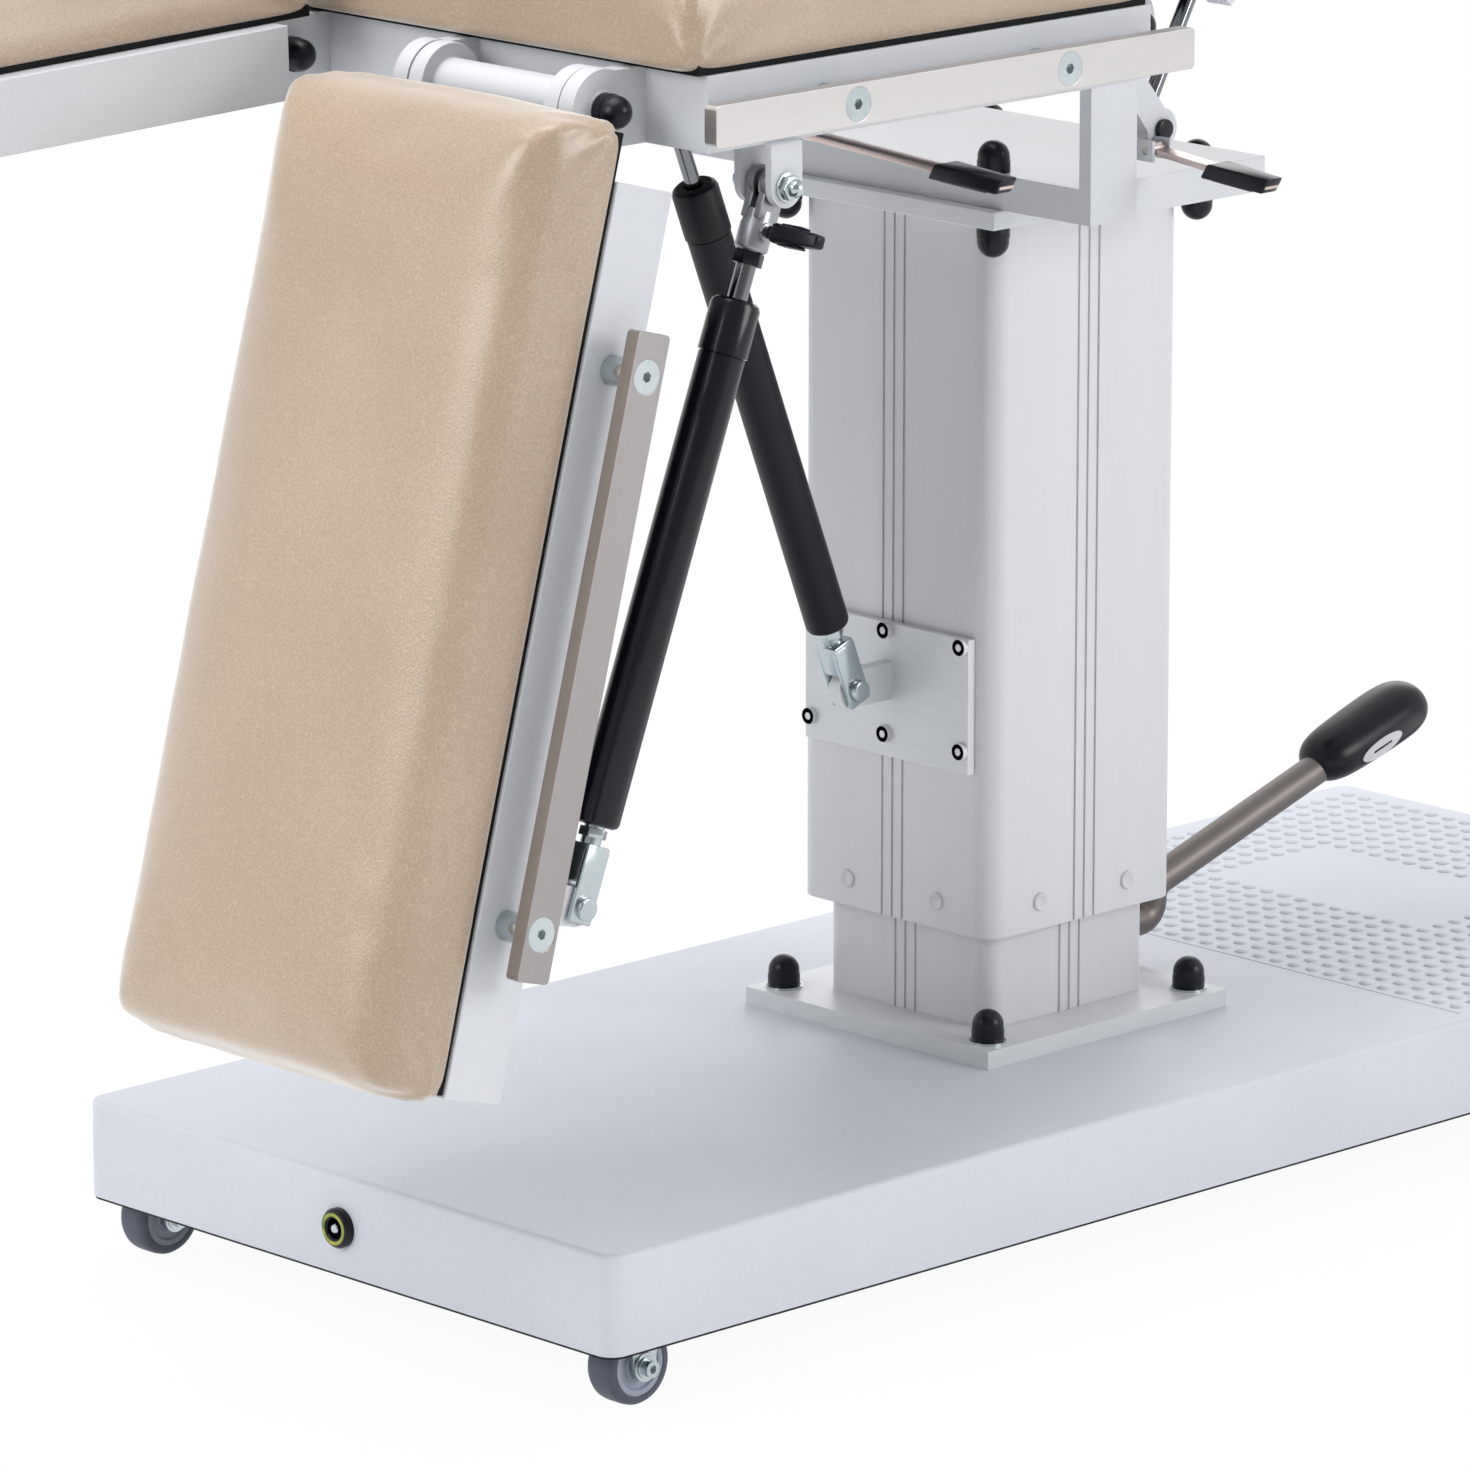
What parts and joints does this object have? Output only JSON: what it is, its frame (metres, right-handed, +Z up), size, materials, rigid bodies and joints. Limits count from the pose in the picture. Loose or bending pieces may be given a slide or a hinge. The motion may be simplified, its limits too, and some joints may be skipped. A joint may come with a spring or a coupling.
{
  "type": "operating table",
  "caption": "Operating table with a telescopic column on a low wheeled base, tilting seat, two folding leg sections, raised back, head section and side rails.",
  "frame": {"origin": "on the floor under the axis of the lifting column", "axes": "+X towards the head end, +Y to the right side of a patient lying face up, +Z up"},
  "size_m": [1.722, 0.618, 1.5311],
  "materials": {
    "black_plastic": "moulded",
    "board": "matt",
    "cover": "smooth semi-gloss",
    "frame_paint": "satin powder coat",
    "guide": "moulded",
    "hidden_steel": "primer",
    "plate_steel": "fine brushed",
    "profile": "satin anodised",
    "rail_steel": "brushed stainless",
    "spring_black": "gloss black",
    "spring_rod": "polished",
    "tyre": "matt",
    "upholstery": "soft matt vinyl",
    "zinc": "bright zinc plated"
  },
  "bodies": {
    "base": {"base_cover": "cover", "base_frame": "hidden_steel", "foot_plate": "plate_steel", "foot_studs": "zinc", "foot_caps": "black_plastic", "inner_column": "profile", "lift_cylinder": "hidden_steel", "earthing_socket": "black_plastic", "fixed_castor_forks": "zinc"},
    "fixed_wheel_left": {"fixed_wheel_left": "tyre"},
    "fixed_wheel_right": {"fixed_wheel_right": "tyre"},
    "swivel_left": {"swivel_fork_left": "zinc"},
    "swivel_right": {"swivel_fork_right": "zinc"},
    "swivel_wheel_left": {"swivel_wheel_left": "tyre"},
    "swivel_wheel_right": {"swivel_wheel_right": "tyre"},
    "lift": {"outer_column": "profile", "column_guides": "guide", "lift_rod": "spring_rod", "top_plate": "plate_steel", "top_caps": "black_plastic", "spring_bracket": "profile", "yoke": "frame_paint", "tilt_pivot_bolts": "zinc"},
    "seat": {"seat_frame": "frame_paint", "seat_board": "board", "seat_cushion": "upholstery", "seat_rails": "rail_steel", "seat_rail_fixings": "zinc", "hinge_pins": "black_plastic", "clevis_bolts": "zinc"},
    "tilt_barrel": {"tilt_spring_barrel": "spring_black"},
    "tilt_rod": {"tilt_spring_rod": "spring_rod"},
    "tilt_lever": {"tilt_release_lever": "rail_steel"},
    "back": {"back_frame": "frame_paint", "back_board": "board", "back_cushion": "upholstery", "back_rails": "rail_steel"},
    "back_barrel": {"back_spring_barrel": "spring_black"},
    "back_rod": {"back_spring_rod": "spring_rod"},
    "back_lever": {"back_release_lever": "rail_steel"},
    "head": {"head_frame": "frame_paint", "head_cushion": "upholstery"},
    "pedal": {"pedal_tube": "rail_steel", "pedal_grip": "black_plastic"},
    "leg_left": {"leg_frame_left": "frame_paint", "leg_board_left": "board", "leg_pad_left": "upholstery", "leg_rail_left": "rail_steel", "leg_rail_fixings_left": "zinc"},
    "leg_barrel_left": {"leg_spring_barrel_left": "spring_black"},
    "leg_rod_left": {"leg_spring_rod_left": "spring_rod"},
    "leg_paddle_left": {"leg_spring_paddle_left": "black_plastic"},
    "leg_right": {"leg_frame_right": "frame_paint", "leg_board_right": "board", "leg_pad_right": "upholstery", "leg_rail_right": "rail_steel", "leg_rail_fixings_right": "zinc"},
    "leg_barrel_right": {"leg_spring_barrel_right": "spring_black"},
    "leg_rod_right": {"leg_spring_rod_right": "spring_rod"},
    "leg_paddle_right": {"leg_spring_paddle_right": "black_plastic"}
  },
  "joints": [
    {"name": "column_lift", "type": "slide", "parent": "base", "child": "lift", "axis": [0, 0, 1], "range_m": [-0.03, 0.27]},
    {"name": "table_tilt", "type": "hinge", "parent": "lift", "child": "seat", "pos_m": [-0.0775, 0, 0.782], "axis": [0, 1, 0], "range_deg": [-8, 6]},
    {"name": "leg_left_fold", "type": "hinge", "parent": "seat", "child": "leg_left", "pos_m": [-0.538, 0, 0.782], "axis": [0, 1, 0], "range_deg": [0, 75]},
    {"name": "leg_right_fold", "type": "hinge", "parent": "seat", "child": "leg_right", "pos_m": [-0.538, 0, 0.782], "axis": [0, 1, 0], "range_deg": [-73.3, 1.7]},
    {"name": "back_raise", "type": "hinge", "parent": "seat", "child": "back", "pos_m": [-0.1015, 0, 0.782], "axis": [0, -1, 0], "range_deg": [-45, 15]},
    {"name": "head_tilt", "type": "hinge", "parent": "back", "child": "head", "pos_m": [0.41115, 0, 1.29465], "axis": [0, -1, 0], "range_deg": [-30, 15]},
    {"name": "tilt_spring_swing", "type": "hinge", "parent": "lift", "child": "tilt_barrel", "pos_m": [-0.127, 0, 0.335], "axis": [0, 1, 0], "range_deg": [-1.5, 2]},
    {"name": "tilt_spring_stroke", "type": "slide", "parent": "tilt_barrel", "child": "tilt_rod", "axis": [-0.3671, 0, 0.9302], "range_m": [-0.032, 0.046]},
    {"name": "leg_left_spring_swing", "type": "hinge", "parent": "leg_left", "child": "leg_barrel_left", "pos_m": [-0.60299, -0.256, 0.32888], "axis": [0, 1, 0], "range_deg": [-7.5, 0.5]},
    {"name": "leg_left_spring_stroke", "type": "slide", "parent": "leg_barrel_left", "child": "leg_rod_left", "axis": [0.3621, 0, 0.9321], "range_m": [-0.001, 0.116]},
    {"name": "leg_left_paddle_press", "type": "hinge", "parent": "leg_rod_left", "child": "leg_paddle_left", "pos_m": [-0.45614, -0.271, 0.7069], "axis": [0.9321, 0, -0.3621], "range_deg": [0, 10], "stiffness_Nm_per_rad": 0.6, "springref_deg": -11.46},
    {"name": "leg_right_spring_swing", "type": "hinge", "parent": "leg_right", "child": "leg_barrel_right", "pos_m": [-0.99068, 0.256, 0.71404], "axis": [0, 1, 0], "range_deg": [-0.5, 7]},
    {"name": "leg_right_spring_stroke", "type": "slide", "parent": "leg_barrel_right", "child": "leg_rod_right", "axis": [0.9994, 0, 0.0348], "range_m": [-0.114, 0.004]},
    {"name": "leg_right_paddle_press", "type": "hinge", "parent": "leg_rod_right", "child": "leg_paddle_right", "pos_m": [-0.47398, 0.271, 0.73203], "axis": [-0.0348, 0, 0.9994], "range_deg": [0, 10], "stiffness_Nm_per_rad": 0.6, "springref_deg": -11.46},
    {"name": "back_spring_swing", "type": "hinge", "parent": "back", "child": "back_barrel", "pos_m": [0.13184, -0.15, 0.97292], "axis": [0, -1, 0], "range_deg": [-3.2, 1.5]},
    {"name": "back_spring_stroke", "type": "slide", "parent": "back_barrel", "child": "back_rod", "axis": [-0.4938, 0, -0.8696], "range_m": [-0.09, 0.031]},
    {"name": "tilt_lever_pull", "type": "hinge", "parent": "seat", "child": "tilt_lever", "pos_m": [-0.29, -0.03, 0.733], "axis": [-1, 0, 0], "range_deg": [0, 6], "stiffness_Nm_per_rad": 12, "springref_deg": -8.59},
    {"name": "back_lever_pull", "type": "hinge", "parent": "seat", "child": "back_lever", "pos_m": [-0.036, -0.176, 0.692], "axis": [-1, 0, 0], "range_deg": [0, 8], "stiffness_Nm_per_rad": 3, "springref_deg": -11.46},
    {"name": "pedal_press", "type": "hinge", "parent": "base", "child": "pedal", "pos_m": [0.092, 0, 0.134], "axis": [0, 1, 0], "range_deg": [0, 8], "stiffness_Nm_per_rad": 60, "springref_deg": -6.88},
    {"name": "fixed_wheel_left_roll", "type": "hinge", "parent": "base", "child": "fixed_wheel_left", "pos_m": [-0.521, -0.214, 0.025], "axis": [0, 1, 0], "continuous": true},
    {"name": "swivel_left_turn", "type": "hinge", "parent": "base", "child": "swivel_left", "pos_m": [0.535, -0.185, 0.06], "axis": [0, 0, 1], "continuous": true},
    {"name": "swivel_wheel_left_roll", "type": "hinge", "parent": "swivel_left", "child": "swivel_wheel_left", "pos_m": [0.515, -0.185, 0.025], "axis": [0, 1, 0], "continuous": true},
    {"name": "fixed_wheel_right_roll", "type": "hinge", "parent": "base", "child": "fixed_wheel_right", "pos_m": [-0.521, 0.214, 0.025], "axis": [0, 1, 0], "continuous": true},
    {"name": "swivel_right_turn", "type": "hinge", "parent": "base", "child": "swivel_right", "pos_m": [0.535, 0.185, 0.06], "axis": [0, 0, 1], "continuous": true},
    {"name": "swivel_wheel_right_roll", "type": "hinge", "parent": "swivel_right", "child": "swivel_wheel_right", "pos_m": [0.515, 0.185, 0.025], "axis": [0, 1, 0], "continuous": true}
  ],
  "couplings": [
    {"joint": "tilt_spring_swing", "follows": "table_tilt", "ratio": 0.098},
    {"joint": "tilt_spring_stroke", "follows": "table_tilt", "m_per_rad": 0.21},
    {"joint": "leg_left_spring_swing", "follows": "leg_left_fold", "ratio": -0.090754},
    {"joint": "leg_left_spring_stroke", "follows": "leg_left_fold", "m_per_rad": 0.086315},
    {"joint": "leg_right_spring_swing", "follows": "leg_right_fold", "ratio": -0.088997},
    {"joint": "leg_right_spring_stroke", "follows": "leg_right_fold", "m_per_rad": 0.087133},
    {"joint": "back_spring_swing", "follows": "back_raise", "ratio": 0.0585},
    {"joint": "back_spring_stroke", "follows": "back_raise", "m_per_rad": 0.1088}
  ]
}
